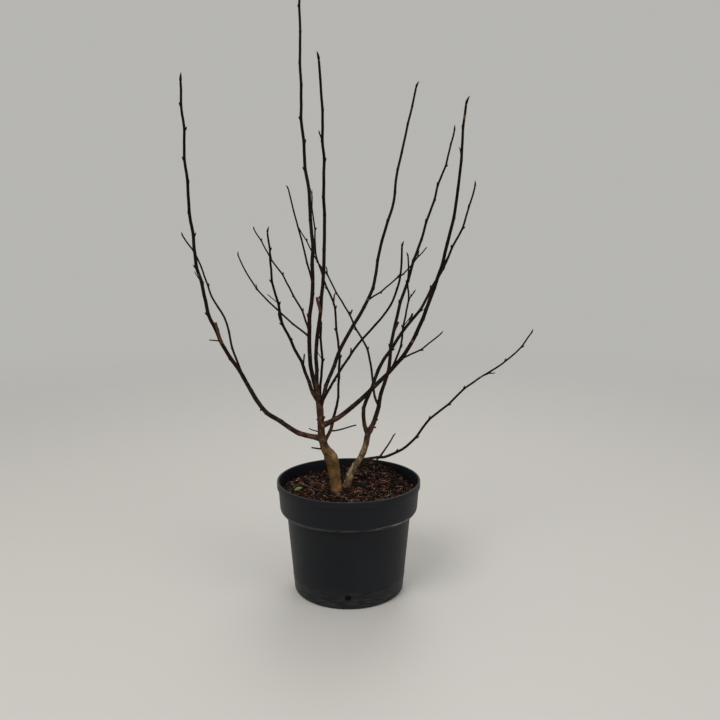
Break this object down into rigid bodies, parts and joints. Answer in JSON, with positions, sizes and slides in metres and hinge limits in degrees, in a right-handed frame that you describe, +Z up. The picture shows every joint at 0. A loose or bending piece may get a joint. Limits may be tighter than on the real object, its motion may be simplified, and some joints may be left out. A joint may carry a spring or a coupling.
{
  "type": "young magnolia shrub in a nursery pot",
  "caption": "Bare winter shrub of upright shoots on forked stems, standing in a soil-filled round nursery pot.",
  "frame": {"origin": "middle of the pot's flat underside", "axes": "+Z up along the shoots; -Y is the front, the side that the picture shows"},
  "size_m": [0.4694, 0.2854, 0.774],
  "materials": {
    "pot_plastic": "satin, thin moulded plastic",
    "soil_mix": "rough, moist bark and coir fibre",
    "old_bark": "matt, finely cracked bark",
    "young_bark": "matt young bark",
    "shoot_bark": "smooth dark bark of young shoots"
  },
  "bodies": {
    "root": {"pot": "pot_plastic", "soil": "soil_mix", "trunk_left": "old_bark", "trunk_right": "old_bark", "bough_far_left": "young_bark", "bough_right": "young_bark", "bough_back": "young_bark", "bough_inner_right": "young_bark", "bough_left": "young_bark", "bough_second": "young_bark", "bough_leader": "young_bark", "bough_outer_right": "young_bark", "bough_right_back": "young_bark", "bough_crossing": "young_bark", "bough_low_right": "young_bark", "twigs_far_left": "shoot_bark", "twigs_right_tall": "shoot_bark", "twigs_leader": "shoot_bark", "twigs_second": "shoot_bark", "twigs_left": "shoot_bark", "twigs_inner_right": "shoot_bark", "twigs_front": "shoot_bark", "twigs_back": "shoot_bark", "twigs_upright": "shoot_bark", "twigs_outer_right": "shoot_bark", "twigs_right_back": "shoot_bark", "twigs_crossing": "shoot_bark", "twigs_low_right": "shoot_bark"}
  },
  "joints": []
}
